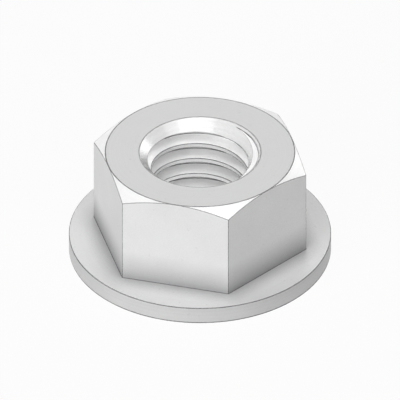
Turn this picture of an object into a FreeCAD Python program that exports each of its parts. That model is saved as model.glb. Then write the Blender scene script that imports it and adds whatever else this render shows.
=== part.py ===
import FreeCAD, Part
import math
import os
import Sketcher

# A serrated flange nut for an M8 coarse thread, in millimetres.
# Its axis is Z, its bearing side lies on z = 0, and two flats of its hexagon face along X.
# The hole is bored to the minor diameter of the thread.

# Driving dimensions: alias, value, what it measures
drivingSizes = [
    ("acrossFlats", 13.0, "hexagon, from flat to flat"),
    ("nutHeight", 8.0, "bearing side to top face"),
    ("chamferCircle", 12.96, "diameter of the flat top face inside the corner chamfers"),
    ("chamferSlope", 30.0, "fall of the corner chamfers from the top face, degrees"),
    ("flangeDiameter", 17.9, "outside of the round flange"),
    ("rimHeight", 1.25, "thickness of the flange"),
    ("minorDiameter", 6.647, "crest circle of the M8 x 1.25 internal thread"),
    ("countersinkDiameter", 8.275, "mouth of the countersink at each end of the hole"),
    ("countersinkAngle", 90.0, "full angle of each countersink, degrees"),
    ("recessDiameter", 10.8, "recess inside the ring of teeth, at the bearing side"),
    ("recessDepth", 0.45, "floor of the recess above the bearing side"),
    ("recessSlope", 45.0, "slope of the recess wall from the bearing side, degrees"),
    ("toothCount", 24, "serrations round the bearing side"),
    ("toothDepth", 0.4, "deepest point of the gap between two teeth"),
    ("toothLand", 0.2, "width of a tooth's flat crest, where the gap is deepest"),
    ("toothLean", 12.0, "lean of the face that bites, from upright, degrees"),
    ("toothRunOut", 0.6, "length over which a gap fades towards the rim"),
    ("rimLand", 0.65, "plain bearing ring between the teeth and the rim"),
    ("cutOver", 0.2, "how far a cutting section reaches past the metal"),
]

doc = FreeCAD.newDocument("SerratedFlangeNut")


# The sheet of driving dimensions
def makeSheet():
    sheet = doc.addObject("Spreadsheet::Sheet", "Sizes")
    for row, (alias, value, meaning) in enumerate(drivingSizes, start=1):
        sheet.set(f"A{row}", meaning)
        sheet.set(f"B{row}", str(value))
        sheet.setAlias(f"B{row}", alias)
    doc.recompute()
    return sheet


# Sketches lie on the body's own planes, and each of their sizes follows a formula
def originPart(body, role):
    return next(part for part in body.Origin.OriginFeatures if part.Role == role)


def makeSketch(body, name, plane):
    sketch = body.newObject("Sketcher::SketchObject", name)
    sketch.AttachmentSupport = [(originPart(body, plane), "")]
    sketch.MapMode = "FlatFace"
    return sketch


def drive(sketch, constraint, formula):
    index = sketch.addConstraint(constraint)
    sketch.setExpression(f"Constraints[{index}]", formula)


def addCircle(sketch, diameter, formula, construction=False):
    middle = FreeCAD.Vector(0, 0, 0)
    axis = FreeCAD.Vector(0, 0, 1)
    circle = sketch.addGeometry(Part.Circle(middle, axis, diameter / 2), construction)
    sketch.addConstraint(Sketcher.Constraint("Coincident", circle, 3, -1, 1))
    drive(sketch, Sketcher.Constraint("Diameter", circle, diameter), formula)
    return circle


# A closed run of lines through corners that start on a circle about the origin
def addLoop(sketch, count, radius, firstTurn=0.0):
    corners = []
    for i in range(count):
        turn = math.radians(firstTurn + 360 * i / count)
        corners.append(FreeCAD.Vector(radius * math.cos(turn), radius * math.sin(turn), 0))
    lines = []
    for i in range(count):
        side = Part.LineSegment(corners[i], corners[(i + 1) % count])
        lines.append(sketch.addGeometry(side, False))
    for i in range(count):
        sketch.addConstraint(Sketcher.Constraint("Coincident", lines[i - 1], 2, lines[i], 1))
    return lines


# Each corner is a pair of formulas, across and up from the origin, and "0" puts it on an axis
def addOutline(sketch, corners):
    lines = addLoop(sketch, len(corners), 1.0)
    for line, (across, up) in zip(lines, corners):
        if across == "0":
            sketch.addConstraint(Sketcher.Constraint("PointOnObject", line, 1, -2))
        else:
            drive(sketch, Sketcher.Constraint("DistanceX", -1, 1, line, 1, 1.0), across)
        if up == "0":
            sketch.addConstraint(Sketcher.Constraint("PointOnObject", line, 1, -1))
        else:
            drive(sketch, Sketcher.Constraint("DistanceY", -1, 1, line, 1, 1.0), up)


# Six equal sides inside a circle through the corners, the first side upright at +X
def addHexagon(sketch, sheet):
    acrossCorners = sheet.acrossFlats / math.cos(math.radians(30))
    around = addCircle(sketch, acrossCorners, "Sizes.acrossFlats / cos(30)", construction=True)
    sides = addLoop(sketch, 6, acrossCorners / 2, firstTurn=-30.0)
    for side in sides:
        sketch.addConstraint(Sketcher.Constraint("PointOnObject", side, 1, around))
    for side in sides[1:]:
        sketch.addConstraint(Sketcher.Constraint("Equal", sides[0], side))
    sketch.addConstraint(Sketcher.Constraint("Vertical", sides[0]))


# The flange: a round disc with an upright rim
def addFlange(body, sheet):
    sketch = makeSketch(body, "FlangeCircle", "XY_Plane")
    addCircle(sketch, sheet.flangeDiameter, "Sizes.flangeDiameter")
    flange = body.newObject("PartDesign::Pad", "Flange")
    flange.Profile = sketch
    flange.setExpression("Length", "Sizes.rimHeight")
    doc.recompute()
    return flange


# The hexagon: a prism through the flange, up to the top face
def addHexagonPrism(body, sheet):
    sketch = makeSketch(body, "HexagonOutline", "XY_Plane")
    addHexagon(sketch, sheet)
    prism = body.newObject("PartDesign::Pad", "Hexagon")
    prism.Profile = sketch
    prism.setExpression("Length", "Sizes.nutHeight")
    doc.recompute()
    return prism


# A turned cut, whose section is drawn across and up from the axis
def addTurnedCut(body, name, corners):
    sketch = makeSketch(body, f"{name}Section", "XZ_Plane")
    addOutline(sketch, corners)
    cut = body.newObject("PartDesign::Groove", name)
    cut.Profile = sketch
    cut.ReferenceAxis = (sketch, ["V_Axis"])
    cut.Angle = 360
    doc.recompute()
    return cut


# The corner chamfers: a cone that bevels the hexagon and leaves a round top face
def addChamfers(body, sheet):
    inner = "Sizes.chamferCircle / 2"
    outer = "(Sizes.acrossFlats / cos(30) / 2 + Sizes.cutOver)"
    foot = f"Sizes.nutHeight - ({outer} - {inner}) * tan(Sizes.chamferSlope)"
    above = "Sizes.nutHeight + Sizes.cutOver"
    corners = [(inner, "Sizes.nutHeight"), (outer, foot), (outer, above), (inner, above)]
    return addTurnedCut(body, "CornerChamfers", corners)


# The hole with a countersink at each end, and the recess that puts the load on the teeth
def addHole(body, sheet):
    bore = "Sizes.minorDiameter / 2"
    mouth = "Sizes.countersinkDiameter / 2"
    sink = f"({mouth} - {bore}) / tan(Sizes.countersinkAngle / 2)"
    recess = "Sizes.recessDiameter / 2"
    wall = "Sizes.recessDepth / tan(Sizes.recessSlope)"
    corners = [
        ("0", "0"),
        (recess, "0"),
        (f"{recess} - {wall}", "Sizes.recessDepth"),
        (mouth, "Sizes.recessDepth"),
        (bore, f"Sizes.recessDepth + {sink}"),
        (bore, f"Sizes.nutHeight - {sink}"),
        (mouth, "Sizes.nutHeight"),
        ("0", "Sizes.nutHeight"),
    ]
    return addTurnedCut(body, "Hole", corners)


# The serrations: ratchet teeth, left standing between gaps that repeat round the axis.
# A gap's ramp is a plane through the X axis, which climbs clockwise as seen from above,
# so the nut slides as it is tightened, and the steep face behind it bites as it is loosened.
# The gap is drawn on its ramp and cut down and outwards, along the steep face and the run-out.
# Its edges aim at the nut's axis, so a gap is wider and deeper the further out it lies.
def addSerrations(body, sheet):
    reach = "(Sizes.flangeDiameter / 2 - Sizes.rimLand)"
    deepReach = f"({reach} - Sizes.toothRunOut)"
    span = f"(360 deg / Sizes.toothCount - atan(Sizes.toothLand / {deepReach}))"
    lean = "Sizes.toothDepth * tan(Sizes.toothLean)"
    rampWidth = f"({deepReach} * sin{span} - {lean})"
    rampAngle = f"atan(Sizes.toothDepth / {rampWidth})"
    deepAlong = f"{deepReach} * cos{span}"
    deepAcross = f"{rampWidth} / cos({rampAngle})"
    start = "(Sizes.recessDiameter / 2 - 2 * Sizes.recessDepth / tan(Sizes.recessSlope))"
    corners = [
        (start, "Sizes.cutOver"),
        (reach, "Sizes.cutOver"),
        (reach, "0"),
        (deepAlong, f"-{deepAcross}"),
        (f"{deepAlong} * {start} / {deepReach}", f"-{deepAcross} * {start} / {deepReach}"),
    ]
    sketch = makeSketch(body, "GapRamp", "XY_Plane")
    sketch.AttachmentOffset = FreeCAD.Placement(FreeCAD.Vector(), FreeCAD.Vector(1, 0, 0), 1)
    sketch.setExpression("AttachmentOffset.Rotation.Angle", f"-{rampAngle}")
    addOutline(sketch, corners)
    gap = body.newObject("PartDesign::Pocket", "ToothGap")
    gap.Profile = sketch
    gap.UseCustomVector = True
    gap.setExpression("Direction.x", f"Sizes.toothRunOut * cos{span}")
    gap.setExpression("Direction.y", f"-Sizes.toothRunOut * sin{span} - {lean}")
    gap.setExpression("Direction.z", "-Sizes.toothDepth")
    gap.setExpression("Length", "Sizes.toothDepth + Sizes.cutOver")
    doc.recompute()
    teeth = body.newObject("PartDesign::PolarPattern", "Serrations")
    teeth.Originals = [gap]
    teeth.Axis = (originPart(body, "Z_Axis"), [""])
    teeth.Angle = 360
    teeth.setExpression("Occurrences", "Sizes.toothCount")
    body.Tip = teeth
    doc.recompute()
    return teeth


# The nut, with the volume that each step adds or removes
def makeNut(sheet):
    body = doc.addObject("PartDesign::Body", "FlangeNut")
    body.Label = "flange_nut"
    before = 0.0
    for addFeature in (addFlange, addHexagonPrism, addChamfers, addHole, addSerrations):
        feature = addFeature(body, sheet)
        volume = feature.Shape.Volume
        print(f"{feature.Name}: {volume - before:+.3f} mm3")
        before = volume
    return body


def checkDocument():
    for item in doc.Objects:
        if "Invalid" in item.State or "Error" in item.State:
            raise RuntimeError(f"{item.Name} failed: {item.State}")


def exportPart(body):
    shape = body.Shape
    if shape.isNull() or not shape.isValid() or len(shape.Solids) != 1:
        raise RuntimeError(f"{body.Label} is not one valid solid")
    os.makedirs("parts", exist_ok=True)
    shape.exportStep(f"parts/{body.Label}.step")
    box = shape.BoundBox
    print(f"{body.Label}: {shape.Volume:.2f} mm3")
    print(f"overall: {box.XLength:.2f} x {box.YLength:.2f} x {box.ZLength:.2f} mm")


nut = makeNut(makeSheet())
checkDocument()
exportPart(nut)
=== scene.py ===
import math

import bmesh
import bpy
from mathutils import Matrix, Vector


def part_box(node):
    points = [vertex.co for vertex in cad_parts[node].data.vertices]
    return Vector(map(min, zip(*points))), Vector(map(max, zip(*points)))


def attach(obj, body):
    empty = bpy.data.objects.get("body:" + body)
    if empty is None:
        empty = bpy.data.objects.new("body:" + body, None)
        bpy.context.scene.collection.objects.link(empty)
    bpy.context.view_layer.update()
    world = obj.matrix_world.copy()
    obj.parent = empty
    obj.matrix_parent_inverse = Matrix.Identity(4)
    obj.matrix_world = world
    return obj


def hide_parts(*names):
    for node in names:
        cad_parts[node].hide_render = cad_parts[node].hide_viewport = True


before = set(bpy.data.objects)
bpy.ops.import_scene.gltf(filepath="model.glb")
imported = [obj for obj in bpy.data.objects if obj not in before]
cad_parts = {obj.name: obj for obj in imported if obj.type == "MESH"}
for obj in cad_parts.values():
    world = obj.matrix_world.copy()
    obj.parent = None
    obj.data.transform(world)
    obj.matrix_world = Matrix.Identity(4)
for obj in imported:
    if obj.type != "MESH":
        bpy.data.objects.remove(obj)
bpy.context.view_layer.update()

# A serrated flange nut with an M8 coarse thread, standing on its teeth.
# It is modelled in millimetres in the place of the CAD nut, then brought down to metres.
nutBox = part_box("flange_nut")
scene = bpy.context.scene
scene.view_settings.view_transform = "Standard"

# Sizes of shapes are in millimetres and degrees, all else is in metres
nutSizes = {
    "acrossFlats": 13.0,
    "chamferCircle": 12.96,  # flat part of the top face, inside the corner chamfers
    "chamferSlope": 30.0,  # fall of the corner chamfers from the top face
    "rimHeight": 1.25,  # thickness of the flange
    "rimSoftness": 0.035,  # rounding of the two edges of the rim
    "cornerSoftness": 0.013,  # half the width of the narrow flat along each corner
    "mouthSoftness": 0.02,  # rounding where the upper countersink meets the top face
    "minorDiameter": 6.647,  # crests of the thread
    "countersinkDiameter": 8.275,  # mouth of the countersink at each end of the hole
    "recessDiameter": 10.8,  # recess inside the ring of teeth, at the bearing side
    "recessDepth": 0.45,
    "cutOver": 0.2,  # how far a cutting shape reaches past the metal
    "turnSteps": 180,  # facets in one turn of a round surface
    "sharpAngle": 9.0,  # edges that bend more than this stay crisp
}

threadSizes = {
    "pitch": 1.25,
    "majorDiameter": 8.0,  # roots of the thread
    "rootShare": 0.125,  # width of the flat at the root, as a share of the pitch
    "flankAngle": 30.0,
    "startAngle": 52.0,  # where the groove's middle is at startHeight
    "startHeight": 7.784,
    "turns": 9,
    "cutOver": 0.15,  # how far the cutting shape reaches into the open bore
}

toothSizes = {
    "count": 24,
    "depth": 0.4,  # deepest point of the gap between two teeth
    "land": 0.2,  # width of a tooth's flat crest, where the gap is deepest
    "lean": 12.0,  # lean of the face that bites, from upright
    "runOut": 0.6,  # length over which a gap fades towards the rim
    "rimLand": 0.65,  # plain bearing ring between the teeth and the rim
    "cutOver": 0.05,  # how far a cutting shape's ramp reaches past the bearing side
    "cutStretch": 1.2,  # height of a cutting shape, as a share of the depth
}

# How near two points are to count as one
closeness = {
    "seam": 0.0001,  # where a turned shape meets itself
    "slice": 0.00001,  # on the plane of a slice
    "weld": 0.0005,  # in the finished nut
}

mmPerMetre = 1000.0
hexAngle = 60.0  # from one side of the hexagon to the next
nutHeight = (nutBox[1][2] - nutBox[0][2]) * mmPerMetre
flangeRadius = (nutBox[1][0] - nutBox[0][0]) / 2 * mmPerMetre


# Shapes are turned from an open outline of (across, up) points that starts and ends on the axis
def turnOutline(outline, softened=(), softness=0.0):
    shape = bmesh.new()
    corners = [shape.verts.new((across, 0, up)) for across, up in outline]
    for first, second in zip(corners, corners[1:]):
        shape.edges.new((first, second))
    if softened:
        bmesh.ops.bevel(
            shape,
            geom=[corners[index] for index in softened],
            offset=softness,
            affect="VERTICES",
            segments=3,
            profile=0.5,
            material=-1,
        )
    bmesh.ops.spin(
        shape,
        geom=shape.verts[:] + shape.edges[:],
        cent=(0, 0, 0),
        axis=(0, 0, 1),
        angle=math.tau,
        steps=nutSizes["turnSteps"],
        use_merge=True,
    )
    bmesh.ops.remove_doubles(shape, verts=shape.verts, dist=closeness["seam"])
    bmesh.ops.recalc_face_normals(shape, faces=shape.faces)
    return shape


def toObject(shape, name):
    mesh = bpy.data.meshes.new(name)
    shape.to_mesh(mesh)
    shape.free()
    made = bpy.data.objects.new(name, mesh)
    scene.collection.objects.link(made)
    return made


# The other shape is joined to the first or cut out of it, and is gone afterwards
def combine(base, other, operation):
    join = base.modifiers.new(operation.title(), "BOOLEAN")
    join.operation = operation
    join.solver = "MANIFOLD"
    join.object = other
    graph = bpy.context.evaluated_depsgraph_get()
    result = bpy.data.meshes.new_from_object(base.evaluated_get(graph))
    base.modifiers.clear()
    base.data = result
    bpy.data.objects.remove(other)


def turned(degrees):
    return Matrix.Rotation(math.radians(degrees), 3, "Z")


def sliceOff(shape, direction, distance):
    cut = bmesh.ops.bisect_plane(
        shape,
        geom=shape.verts[:] + shape.edges[:] + shape.faces[:],
        dist=closeness["slice"],
        plane_co=direction * distance,
        plane_no=direction,
        clear_outer=True,
    )
    opened = [part for part in cut["geom_cut"] if isinstance(part, bmesh.types.BMEdge)]
    bmesh.ops.edgeloop_fill(shape, edges=opened)


# The hexagon: a blank with a crown cone, sliced to its flats, and then to a narrow flat at each corner
def makeHexagon(sizes):
    cornerRadius = sizes["acrossFlats"] / 2 / math.cos(math.radians(hexAngle / 2))
    crown = sizes["chamferCircle"] / 2
    blankRadius = cornerRadius + sizes["cutOver"]
    crownFoot = nutHeight - (blankRadius - crown) * math.tan(math.radians(sizes["chamferSlope"]))
    foot = sizes["rimHeight"] / 2  # inside the flange
    shape = turnOutline([
        (0, foot),
        (blankRadius, foot),
        (blankRadius, crownFoot),
        (crown, nutHeight),
        (0, nutHeight),
    ])
    for side in range(6):
        sliceOff(shape, turned(hexAngle * side) @ Vector((1, 0, 0)), sizes["acrossFlats"] / 2)
    softRadius = cornerRadius - sizes["cornerSoftness"] / math.tan(math.radians(hexAngle))
    for corner in range(6):
        sliceOff(shape, turned(hexAngle * corner + hexAngle / 2) @ Vector((1, 0, 0)), softRadius)
    bmesh.ops.recalc_face_normals(shape, faces=shape.faces)
    return toObject(shape, "hexagon")


def makeFlange(sizes):
    rimTop = sizes["rimHeight"]
    outline = [(0, 0), (flangeRadius, 0), (flangeRadius, rimTop), (0, rimTop)]
    shape = turnOutline(outline, softened=(1, 2), softness=sizes["rimSoftness"])
    return toObject(shape, "flange")


# What the drill, the countersinks and the recess take out, with a rounded edge at the upper mouth
def makeHoleCutter(sizes):
    bore = sizes["minorDiameter"] / 2
    mouth = sizes["countersinkDiameter"] / 2
    recess = sizes["recessDiameter"] / 2
    over = sizes["cutOver"]
    soft = sizes["mouthSoftness"]
    steep = soft * 0.7  # where the rounding leaves the countersink
    gentle = soft * 0.2  # and where it nearly lies flat
    return toObject(turnOutline([
        (0, -over),
        (recess + over, -over),
        (recess - sizes["recessDepth"], sizes["recessDepth"]),
        (mouth, sizes["recessDepth"]),
        (bore, sizes["recessDepth"] + mouth - bore),
        (bore, nutHeight - mouth + bore),
        (mouth - steep, nutHeight - steep),
        (mouth + gentle, nutHeight - gentle),
        (mouth + soft, nutHeight),
        (mouth + soft, nutHeight + over),
        (0, nutHeight + over),
    ]), "holeCutter")


# What the tap takes out: a V groove with a flat root, wound up the hole and past both of its ends
def makeTapCutter(sizes, nutValues):
    root = sizes["majorDiameter"] / 2
    inner = nutValues["minorDiameter"] / 2 - sizes["cutOver"]
    halfRoot = sizes["pitch"] * sizes["rootShare"] / 2
    halfInner = halfRoot + (root - inner) * math.tan(math.radians(sizes["flankAngle"]))
    shape = bmesh.new()
    section = [(inner, -halfInner), (inner, halfInner), (root, halfRoot), (root, -halfRoot)]
    shape.faces.new([shape.verts.new((across, 0, up)) for across, up in section])
    bmesh.ops.rotate(shape, verts=shape.verts, cent=(0, 0, 0), matrix=turned(sizes["startAngle"]))
    bmesh.ops.translate(shape, verts=shape.verts, vec=(0, 0, sizes["startHeight"] + sizes["pitch"]))
    bmesh.ops.spin(
        shape,
        geom=shape.verts[:] + shape.edges[:] + shape.faces[:],
        cent=(0, 0, 0),
        axis=(0, 0, 1),
        dvec=(0, 0, -sizes["pitch"] / nutValues["turnSteps"]),
        angle=-math.tau * sizes["turns"],
        steps=nutValues["turnSteps"] * sizes["turns"],
    )
    bmesh.ops.recalc_face_normals(shape, faces=shape.faces)
    bmesh.ops.triangulate(shape, faces=shape.faces)
    return toObject(shape, "tapCutter")


# What stands between two teeth: a ramp through the X axis, cut down along the steep face and the run-out
def makeGapCutters(sizes, nutValues):
    reach = flangeRadius - sizes["rimLand"]
    deepReach = reach - sizes["runOut"]
    span = math.tau / sizes["count"] - math.atan(sizes["land"] / deepReach)
    lean = sizes["depth"] * math.tan(math.radians(sizes["lean"]))
    rampWidth = deepReach * math.sin(span) - lean
    rampAngle = math.atan(sizes["depth"] / rampWidth)
    deepAlong = deepReach * math.cos(span)
    deepAcross = rampWidth / math.cos(rampAngle)
    start = nutValues["recessDiameter"] / 2 - 2 * nutValues["recessDepth"]  # well inside the recess
    corners = [
        (start, sizes["cutOver"]),
        (reach, sizes["cutOver"]),
        (reach, 0),
        (deepAlong, -deepAcross),
        (deepAlong * start / deepReach, -deepAcross * start / deepReach),
    ]
    shape = bmesh.new()
    ramp = shape.faces.new([shape.verts.new((along, across, 0)) for along, across in corners])
    bmesh.ops.rotate(
        shape,
        verts=shape.verts,
        cent=(0, 0, 0),
        matrix=Matrix.Rotation(-rampAngle, 3, "X"),
    )
    grown = bmesh.ops.extrude_face_region(shape, geom=[ramp])
    downwards = Vector((
        sizes["runOut"] * math.cos(span),
        -sizes["runOut"] * math.sin(span) - lean,
        -sizes["depth"],
    ))
    lower = [part for part in grown["geom"] if isinstance(part, bmesh.types.BMVert)]
    bmesh.ops.translate(shape, verts=lower, vec=downwards * sizes["cutStretch"])
    bmesh.ops.spin(
        shape,
        geom=shape.verts[:] + shape.edges[:] + shape.faces[:],
        cent=(0, 0, 0),
        axis=(0, 0, 1),
        angle=math.tau * (sizes["count"] - 1) / sizes["count"],
        steps=sizes["count"] - 1,
        use_duplicate=True,
    )
    bmesh.ops.recalc_face_normals(shape, faces=shape.faces)
    return toObject(shape, "gapCutters")


# Doubles and slivers go, crisp edges are marked, and the nut comes down to metres
def finishNut(nut, sizes):
    shape = bmesh.new()
    shape.from_mesh(nut.data)
    bmesh.ops.remove_doubles(shape, verts=shape.verts, dist=closeness["weld"])
    bmesh.ops.dissolve_degenerate(shape, edges=shape.edges, dist=closeness["weld"])
    bmesh.ops.triangulate(shape, faces=[face for face in shape.faces if len(face.verts) > 4])
    bmesh.ops.recalc_face_normals(shape, faces=shape.faces)
    for face in shape.faces:
        face.smooth = True
    limit = math.radians(sizes["sharpAngle"])
    for edge in shape.edges:
        edge.smooth = len(edge.link_faces) == 2 and edge.calc_face_angle() < limit
    loose = sum(1 for edge in shape.edges if len(edge.link_faces) != 2)
    triangles = sum(len(face.verts) - 2 for face in shape.faces)
    bmesh.ops.scale(shape, verts=shape.verts, vec=(1 / mmPerMetre, 1 / mmPerMetre, 1 / mmPerMetre))
    shape.to_mesh(nut.data)
    shape.free()
    print(f"nut: {triangles} triangles, {loose} open edges")


nut = makeHexagon(nutSizes)
nut.name = "flangeNut"
combine(nut, makeFlange(nutSizes), "UNION")
combine(nut, makeHoleCutter(nutSizes), "DIFFERENCE")
combine(nut, makeTapCutter(threadSizes, nutSizes), "DIFFERENCE")
combine(nut, makeGapCutters(toothSizes, nutSizes), "DIFFERENCE")
finishNut(nut, nutSizes)
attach(nut, "root")
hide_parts("flange_nut")


# A small kit for the shader nodes
def addNode(tree, kind, settings=None, given=None):
    node = tree.nodes.new(kind)
    for name, value in (settings or {}).items():
        setattr(node, name, value)
    for name, value in (given or {}).items():
        node.inputs[name].default_value = value
    return node


def addMath(tree, operation, first, second=0.0, clamped=False):
    node = addNode(tree, "ShaderNodeMath", {"operation": operation, "use_clamp": clamped})
    for socket, value in zip(node.inputs, (first, second)):
        if isinstance(value, (int, float)):
            socket.default_value = value
        else:
            tree.links.new(value, socket)
    return node.outputs[0]


# A value from one range moved to another, eased at both ends
def addEase(tree, value, fromLow, fromHigh, toLow=0.0, toHigh=1.0):
    node = addNode(tree, "ShaderNodeMapRange", {"interpolation_type": "SMOOTHSTEP"}, {
        "From Min": fromLow,
        "From Max": fromHigh,
        "To Min": toLow,
        "To Max": toHigh,
    })
    tree.links.new(value, node.inputs["Value"])
    return node.outputs["Result"]


# The first colour where the mask is 0, the second where it is 1
def addBlend(tree, mask, first, second):
    node = addNode(tree, "ShaderNodeMix", {"data_type": "RGBA"})
    tree.links.new(mask, node.inputs["Factor"])
    for socket, value in ((node.inputs[6], first), (node.inputs[7], second)):
        if isinstance(value, tuple):
            socket.default_value = value
        else:
            tree.links.new(value, socket)
    return node.outputs[2]


# A pattern in the nut's own coordinates, counted in features per metre
def addNoise(tree, scale, detail=3.0):
    place = addNode(tree, "ShaderNodeTexCoord")
    noise = addNode(tree, "ShaderNodeTexNoise", given={"Scale": scale, "Detail": detail})
    tree.links.new(place.outputs["Object"], noise.inputs["Vector"])
    return noise.outputs["Fac"]


# X, Y and Z of a point on the nut
def addPlace(tree):
    place = addNode(tree, "ShaderNodeTexCoord")
    parts = addNode(tree, "ShaderNodeSeparateXYZ")
    tree.links.new(place.outputs["Object"], parts.inputs[0])
    return parts.outputs


def addFromAxis(tree, place):
    across = addMath(tree, "MULTIPLY", place["X"], place["X"])
    along = addMath(tree, "MULTIPLY", place["Y"], place["Y"])
    return addMath(tree, "SQRT", addMath(tree, "ADD", across, along))


def makeGroup(name, given, returned):
    tree = bpy.data.node_groups.new(name, "ShaderNodeTree")
    for socketName, usual in given.items():
        socket = tree.interface.new_socket(socketName, in_out="INPUT", socket_type="NodeSocketFloat")
        socket.default_value = usual
    for socketName in returned:
        tree.interface.new_socket(socketName, in_out="OUTPUT", socket_type="NodeSocketFloat")
    return tree, addNode(tree, "NodeGroupInput"), addNode(tree, "NodeGroupOutput")


def addGroup(tree, group, given=None):
    return addNode(tree, "ShaderNodeGroup", {"node_tree": group}, given)


wear = {
    "seatShare": 2.0,  # how much further edges are rubbed at the bearing side than higher up
    "seatHeight": 0.0003,  # up to where that holds
    "seatFade": 0.0009,  # and where it has faded out
    "bendStart": 0.03,  # how much a surface bends where the rubbing begins
    "bendFull": 0.1,  # and where it is through
    "patchScale": 2600,  # the rubbing is weaker in patches, this many per metre
    "patchStart": 0.2,  # how high the noise is where it is weakest
    "patchEnd": 0.55,  # and where it is full again
    "patchShare": 0.65,  # what is left of it at its weakest
    "colour": (0.04, 0.04, 0.042, 1),
    "roughness": 0.9,
}


# Rubbed edges: 1 along crisp and softened edges, broken up a little, 0 elsewhere.
# Near the bearing side, where the nut drags over things, they are rubbed further.
def makeEdgeWear():
    tree, given, returned = makeGroup("edgeWear", {"Reach": 0.00005, "Seat Share": 2.0}, ["Mask"])
    low = addEase(tree, addPlace(tree)["Z"], wear["seatHeight"], wear["seatFade"], 1.0, 0.0)
    further = addMath(tree, "MULTIPLY", low, addMath(tree, "SUBTRACT", given.outputs["Seat Share"], 1.0))
    reach = addMath(tree, "MULTIPLY", given.outputs["Reach"], addMath(tree, "ADD", 1.0, further))
    rounded = addNode(tree, "ShaderNodeBevel", {"samples": 8})
    tree.links.new(reach, rounded.inputs["Radius"])
    surface = addNode(tree, "ShaderNodeNewGeometry")
    likeness = addNode(tree, "ShaderNodeVectorMath", {"operation": "DOT_PRODUCT"})
    tree.links.new(rounded.outputs["Normal"], likeness.inputs[0])
    tree.links.new(surface.outputs["Normal"], likeness.inputs[1])
    bend = addMath(tree, "SQRT", addMath(tree, "SUBTRACT", 1.0, likeness.outputs["Value"], True))
    edge = addEase(tree, bend, wear["bendStart"], wear["bendFull"])
    patches = addNoise(tree, wear["patchScale"])
    patches = addEase(tree, patches, wear["patchStart"], wear["patchEnd"], wear["patchShare"], 1.0)
    tree.links.new(addMath(tree, "MULTIPLY", edge, patches), returned.inputs["Mask"])
    return tree


plating = {
    "grainScale": 15000,  # features per metre
    "cloudScale": 420,
    "fleckScale": 3400,
    "fleckStart": 0.70,  # how high the noise is where a fleck begins
    "fleckFull": 0.78,
    "grainTone": 0.16,  # how much each of them changes the brightness
    "cloudTone": 0.12,
    "fleckTone": 0.07,
    "grainShine": 0.16,  # and the roughness
    "cloudShine": 0.20,
}


# The plating itself: a fine crystalline grain, faint clouds, and small flecks where it lies thin
def makePlateGrain():
    strengths = {"Grain": 1.0, "Clouds": 1.0}
    tree, given, returned = makeGroup("plateGrain", strengths, ["Tone", "Height", "Shine"])
    grain = addMath(tree, "SUBTRACT", addNoise(tree, plating["grainScale"], 2.0), 0.5)
    clouds = addMath(tree, "SUBTRACT", addNoise(tree, plating["cloudScale"], 4.0), 0.5)
    flecks = addNoise(tree, plating["fleckScale"], 1.0)
    flecks = addEase(tree, flecks, plating["fleckStart"], plating["fleckFull"])
    grainPart = addMath(tree, "MULTIPLY", grain, given.outputs["Grain"])
    cloudPart = addMath(tree, "MULTIPLY", clouds, given.outputs["Clouds"])
    tone = addMath(tree, "ADD", 1.0, addMath(tree, "MULTIPLY", grainPart, plating["grainTone"]))
    tone = addMath(tree, "ADD", tone, addMath(tree, "MULTIPLY", cloudPart, plating["cloudTone"]))
    tone = addMath(tree, "SUBTRACT", tone, addMath(tree, "MULTIPLY", flecks, plating["fleckTone"]))
    shine = addMath(tree, "MULTIPLY", grainPart, plating["grainShine"])
    shine = addMath(tree, "ADD", shine, addMath(tree, "MULTIPLY", cloudPart, plating["cloudShine"]))
    tree.links.new(tone, returned.inputs["Tone"])
    tree.links.new(addMath(tree, "SUBTRACT", grain, flecks), returned.inputs["Height"])
    tree.links.new(shine, returned.inputs["Shine"])
    return tree


turning = {
    "lineScale": 9000.0,  # lines per metre
    "tone": 0.2,  # how much they change the brightness
}


# Lathe lines: fine rings about the axis, on faces across it and along it
def makeTurningLines():
    tree, given, returned = makeGroup("turningLines", {"Amount": 1.0}, ["Tone", "Height"])
    place = addPlace(tree)
    rings = addNode(tree, "ShaderNodeCombineXYZ")
    tree.links.new(addFromAxis(tree, place), rings.inputs["X"])
    tree.links.new(place["Z"], rings.inputs["Y"])
    noise = addNode(tree, "ShaderNodeTexNoise", given={"Scale": turning["lineScale"], "Detail": 2.0})
    tree.links.new(rings.outputs[0], noise.inputs["Vector"])
    lines = addMath(tree, "SUBTRACT", noise.outputs["Fac"], 0.5)
    lines = addMath(tree, "MULTIPLY", lines, given.outputs["Amount"])
    tone = addMath(tree, "ADD", 1.0, addMath(tree, "MULTIPLY", lines, turning["tone"]))
    tree.links.new(tone, returned.inputs["Tone"])
    tree.links.new(lines, returned.inputs["Height"])
    return tree


# Painted shade in the corner round the hexagon's foot: how fast it darkens as the corner closes in,
# where it stops, and its dark colour
cornerShadePaint = {
    "gain": 2.0,  # a place that is closed in by half gets the full painted shade
    "inside": 0.0002,  # how far inside the flats the mask ends, which keeps it out of the hole
    "below": 0.00001,  # how far below the flange's top it ends
    "colour": (0.32, 0.32, 0.325, 1),
}


# The corner where the hexagon stands on the flange gets painted shade: the colour darkens where the
# corner is closed in
def makePaintedFootShade(sizes):
    tree, given, returned = makeGroup("paintedFootShade", {"Reach": 0.002, "Amount": 1.0}, ["Mask"])
    crevice = addNode(tree, "ShaderNodeAmbientOcclusion", {"samples": 8, "only_local": True})
    tree.links.new(given.outputs["Reach"], crevice.inputs["Distance"])
    closed = addMath(tree, "SUBTRACT", 1.0, crevice.outputs["AO"])
    closed = addMath(tree, "MULTIPLY", closed, cornerShadePaint["gain"], True)
    place = addPlace(tree)
    flat = sizes["acrossFlats"] / 2 / mmPerMetre
    rimTop = sizes["rimHeight"] / mmPerMetre
    outside = addMath(tree, "GREATER_THAN", addFromAxis(tree, place), flat - cornerShadePaint["inside"])
    above = addMath(tree, "GREATER_THAN", place["Z"], rimTop - cornerShadePaint["below"])
    mask = addMath(tree, "MULTIPLY", closed, addMath(tree, "MULTIPLY", outside, above))
    tree.links.new(addMath(tree, "MULTIPLY", mask, given.outputs["Amount"]), returned.inputs["Mask"])
    return tree
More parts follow.
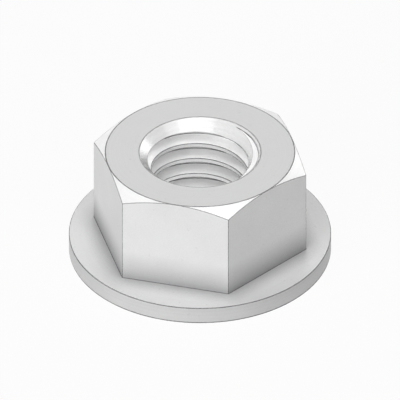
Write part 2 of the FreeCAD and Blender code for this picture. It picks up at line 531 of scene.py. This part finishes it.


# For each finish: its colour, set face by face with painted light and shade in it, and its gloss, how
# strong its lathe lines are, how far its edges are rubbed, and, where the corner round the hexagon gets
# painted shade, how strong that shade is and how far out of that corner it reaches
# The colours are lit and shaded copies of one zinc plating: each is set to the tone that light and shade
# give its faces, as painted light and shade
finishesAndPaintedTones = {
    "flatZinc": {  # the six flats, and the teeth below
        "colour": (0.735, 0.735, 0.735),
        "metallic": 0.38,
        "roughness": 0.5,
        "anisotropic": 0.0,
        "rings": 0.0,
        "edgeReach": 0.00004,
        "footShade": 1.0,
        "footShadeReach": 0.0024,
    },
    "flangeZinc": {  # the upper side of the flange, lighter as painted light
        "colour": (0.96, 0.96, 0.96),
        "metallic": 0.2,
        "roughness": 0.5,
        "anisotropic": 0.0,
        "rings": 0.3,
        "edgeReach": 0.00005,
        "footShade": 0.55,
        "footShadeReach": 0.0014,
    },
    "rimZinc": {  # the trimmed outside of the flange, darker as painted shade
        "colour": (0.60, 0.60, 0.60),
        "metallic": 0.42,
        "roughness": 0.52,
        "anisotropic": 0.0,
        "rings": 0.5,
        "edgeReach": 0.00008,
    },
    "facedZinc": {  # the top face, darker than the flange's top as painted shade
        "colour": (0.733, 0.733, 0.733),
        "metallic": 0.5,
        "roughness": 0.5,
        "anisotropic": 0.0,
        "rings": 0.6,
        "edgeReach": 0.00013,
    },
    "crownZinc": {  # the chamfers at the corners, near white as a painted highlight
        "colour": (0.90, 0.90, 0.90),
        "metallic": 0.75,
        "roughness": 0.4,
        "anisotropic": 0.0,
        "rings": 0.4,
        "edgeReach": 0.00007,
    },
    "sinkZinc": {  # the countersinks
        "colour": (0.795, 0.795, 0.795),
        "metallic": 0.75,
        "roughness": 0.2,
        "anisotropic": 0.6,
        "rings": 0.6,
        "edgeReach": 0.00004,
    },
    "threadZinc": {  # what the tap has cut, and the crests that it left, lighter as painted light inside the hole
        "colour": (0.96, 0.96, 0.96),
        "metallic": 0.78,
        "roughness": 0.36,
        "anisotropic": 0.5,
        "rings": 0.8,
        "edgeReach": 0.00008,
    },
}
relief = {
    "grainShare": 0.5,  # height of the grain, where the lathe lines have 1
    "strength": 0.3,
    "depth": 0.000015,
}


def makeFinish(name, values, groups):
    material = bpy.data.materials.new(name)
    material.use_nodes = True
    tree = material.node_tree
    shader = tree.nodes["Principled BSDF"]
    shader.inputs["Metallic"].default_value = values["metallic"]
    grain = addGroup(tree, groups["plateGrain"])
    rings = addGroup(tree, groups["turningLines"], {"Amount": values["rings"]})
    edge = addGroup(tree, groups["edgeWear"], {
        "Reach": values["edgeReach"],
        "Seat Share": wear["seatShare"],
    })
    plate = addNode(tree, "ShaderNodeVectorMath", {"operation": "SCALE"})
    plate.inputs[0].default_value = values["colour"]
    tone = addMath(tree, "MULTIPLY", grain.outputs["Tone"], rings.outputs["Tone"])
    tree.links.new(tone, plate.inputs["Scale"])
    colour = plate.outputs[0]
    # Painted shade: the colour darkens in the corner round the hexagon's foot
    if "footShade" in values:
        footShade = addGroup(tree, groups["paintedFootShade"], {
            "Reach": values["footShadeReach"],
            "Amount": values["footShade"],
        })
        colour = addBlend(tree, footShade.outputs["Mask"], colour, cornerShadePaint["colour"])
    colour = addBlend(tree, edge.outputs["Mask"], colour, wear["colour"])
    tree.links.new(colour, shader.inputs["Base Color"])
    roughness = addMath(tree, "ADD", values["roughness"], grain.outputs["Shine"])
    rougher = addMath(tree, "MULTIPLY", edge.outputs["Mask"], wear["roughness"] - values["roughness"])
    tree.links.new(addMath(tree, "ADD", roughness, rougher), shader.inputs["Roughness"])
    height = addMath(tree, "MULTIPLY", grain.outputs["Height"], relief["grainShare"])
    bump = addNode(tree, "ShaderNodeBump", given={
        "Strength": relief["strength"],
        "Distance": relief["depth"],
    })
    tree.links.new(addMath(tree, "ADD", height, rings.outputs["Height"]), bump.inputs["Height"])
    tree.links.new(bump.outputs["Normal"], shader.inputs["Normal"])
    if values["anisotropic"]:
        shader.inputs["Anisotropic"].default_value = values["anisotropic"]
        shader.inputs["Anisotropic Rotation"].default_value = 0.25  # a quarter turn
        around = addNode(tree, "ShaderNodeTangent", {"direction_type": "RADIAL", "axis": "Z"})
        tree.links.new(around.outputs["Tangent"], shader.inputs["Tangent"])
    return material


# How a face is told by its place and by how far its normal points up
faceLimits = {
    "sinkUp": 0.707,  # a countersink lies at 45 degrees
    "sinkSpread": 0.02,
    "threadUp": 0.95,
    "levelUp": 0.9,
    "crownUp": 0.8,
    "levelBand": 0.0001,  # how far under its level a level face may lie
    "rimBand": 0.00004,  # a little more than the rim's rounding
}


# The finish of a face follows from how that face was made, and its colour carries the painted light or
# shade set for that face
def finishOf(face, sizes, limits):
    fromAxis = math.hypot(face.center.x, face.center.y)
    height = face.center.z
    up = face.normal.z
    mouth = (sizes["countersinkDiameter"] / 2 + sizes["mouthSoftness"]) / mmPerMetre
    rimTop = sizes["rimHeight"] / mmPerMetre
    if fromAxis < mouth and abs(abs(up) - limits["sinkUp"]) < limits["sinkSpread"]:
        return "sinkZinc"
    if fromAxis < mouth and abs(up) < limits["threadUp"]:
        return "threadZinc"
    if fromAxis > flangeRadius / mmPerMetre - limits["rimBand"]:
        return "rimZinc"
    if up > limits["levelUp"] and height > nutHeight / mmPerMetre - limits["levelBand"]:
        return "facedZinc"
    if up > limits["levelUp"] and height > rimTop - limits["levelBand"]:
        return "flangeZinc"
    if up > limits["crownUp"] and height > rimTop:
        return "crownZinc"
    return "flatZinc"


def dressNut(nut, sizes):
    nut.data.materials.clear()
    groups = {
        "edgeWear": makeEdgeWear(),
        "plateGrain": makePlateGrain(),
        "turningLines": makeTurningLines(),
        "paintedFootShade": makePaintedFootShade(sizes),
    }
    for name, values in finishesAndPaintedTones.items():
        nut.data.materials.append(makeFinish(name, values, groups))
    order = list(finishesAndPaintedTones)
    for face in nut.data.polygons:
        face.material_index = order.index(finishOf(face, sizes, faceLimits))
    print(f"finish: {len(finishesAndPaintedTones)} materials")


dressNut(nut, nutSizes)

floorLook = {
    "size": 1.0,
    "bounce": (0.5, 0.5, 0.5, 1),  # what it throws back on the nut
    "colour": (0.97, 0.97, 0.97, 1),  # what the camera and the metal see, with the nut's shadow on it
    "glow": 0.945,  # share of that which is plain white
}


# 1 for what the camera sees, straight or in the metal
def addSeen(tree):
    rays = addNode(tree, "ShaderNodeLightPath")
    seen = addMath(tree, "MAXIMUM", rays.outputs["Is Camera Ray"], rays.outputs["Is Glossy Ray"])
    return addMath(tree, "MAXIMUM", seen, rays.outputs["Is Transmission Ray"])


def makeFloor(look):
    shape = bmesh.new()
    bmesh.ops.create_grid(shape, x_segments=1, y_segments=1, size=look["size"] / 2)
    floor = toObject(shape, "floor")
    material = bpy.data.materials.new("paleFloor")
    material.use_nodes = True
    tree = material.node_tree
    tree.nodes.clear()
    output = addNode(tree, "ShaderNodeOutputMaterial")
    seen = addSeen(tree)
    plain = addNode(tree, "ShaderNodeBsdfDiffuse")
    tree.links.new(addBlend(tree, seen, look["bounce"], look["colour"]), plain.inputs["Color"])
    glow = addNode(tree, "ShaderNodeEmission", given={"Strength": 1.0})
    blend = addNode(tree, "ShaderNodeMixShader")
    tree.links.new(addMath(tree, "MULTIPLY", seen, look["glow"]), blend.inputs["Fac"])
    tree.links.new(plain.outputs[0], blend.inputs[1])
    tree.links.new(glow.outputs[0], blend.inputs[2])
    tree.links.new(blend.outputs[0], output.inputs["Surface"])
    floor.data.materials.append(material)
    print("floor: made")


makeFloor(floorLook)

# Soft lamps, all at one distance: where each stands, in degrees round from +X and above the floor,
# how wide and tall it is, and how bright
lampDistance = 0.3
lamps = {
    "right": {"round": 90, "above": 18, "size": (0.16, 0.16), "glow": 0.63},
    "back": {"round": 142, "above": 22, "size": (0.16, 0.16), "glow": 0.84},
    "leftHigh": {"round": 200, "above": 52, "size": (0.14, 0.14), "glow": 0.22},
    "key": {"round": 290, "above": 20, "size": (0.26, 0.18), "glow": 2.41},
    "keyLeft": {"round": 270, "above": 12, "size": (0.16, 0.1), "glow": 5.99},
    "soft": {"round": 322, "above": 48, "size": (0.3, 0.14), "glow": 0.50},
    "overhead": {"round": 20, "above": 78, "size": (0.16, 0.16), "glow": 0.33},
    "zenith": {"round": 280, "above": 80, "size": (0.14, 0.14), "glow": 0.06},
    "rightHigh": {"round": 20, "above": 55, "size": (0.14, 0.14), "glow": 0.30},
    "rightLow": {"round": 345, "above": 24, "size": (0.16, 0.14), "glow": 1.42},
}


def makeLamp(name, values):
    lamp = bpy.data.lights.new(name, "AREA")
    lamp.shape = "RECTANGLE"
    lamp.size, lamp.size_y = values["size"]
    lamp.energy = values["glow"] * math.pi * lamp.size * lamp.size_y  # so glow is its brightness
    holder = bpy.data.objects.new(name, lamp)
    turn = math.radians(values["round"])
    lift = math.radians(values["above"])
    towards = Vector((math.cos(turn) * math.cos(lift), math.sin(turn) * math.cos(lift), math.sin(lift)))
    holder.location = towards * lampDistance
    holder.rotation_euler = towards.to_track_quat("Z", "Y").to_euler()
    scene.collection.objects.link(holder)


for name, values in lamps.items():
    makeLamp(name, values)
print(f"lamps: {len(lamps)}")

studio = {
    "shown": 0.985,  # the white that the camera and the metal see above the floor
    "light": 0.15,  # what lights the nut from all round
}


def makeStudio(values):
    world = bpy.data.worlds.new("studio")
    world.use_nodes = True
    tree = world.node_tree
    strength = addMath(tree, "MULTIPLY", addSeen(tree), values["shown"] - values["light"])
    strength = addMath(tree, "ADD", strength, values["light"])
    background = tree.nodes["Background"]
    background.inputs["Color"].default_value = (1, 1, 1, 1)
    tree.links.new(strength, background.inputs["Strength"])
    scene.world = world


makeStudio(studio)
print("studio: lit")

# A parallel view along the diagonal of a cube
cameraView = {
    "azimuth": 45.0,  # round from the front, which is -Y, towards +X
    "elevation": 35.264,
    "width": 0.02731,  # what the frame spans
    "aim": (0, 0, 0.003982),
    "distance": 0.2,
    "clipStart": 0.001,
    "clipEnd": 2.0,
}


def makeCamera(values):
    camera = bpy.data.cameras.new("camera")
    camera.type = "ORTHO"
    camera.ortho_scale = values["width"]
    camera.clip_start = values["clipStart"]
    camera.clip_end = values["clipEnd"]
    holder = bpy.data.objects.new("camera", camera)
    turn = math.radians(values["azimuth"])
    lift = math.radians(values["elevation"])
    back = Vector((math.sin(turn) * math.cos(lift), -math.cos(turn) * math.cos(lift), math.sin(lift)))
    holder.location = Vector(values["aim"]) + back * values["distance"]
    holder.rotation_euler = back.to_track_quat("Z", "Y").to_euler()
    scene.collection.objects.link(holder)
    scene.camera = holder


makeCamera(cameraView)
print("camera: placed")
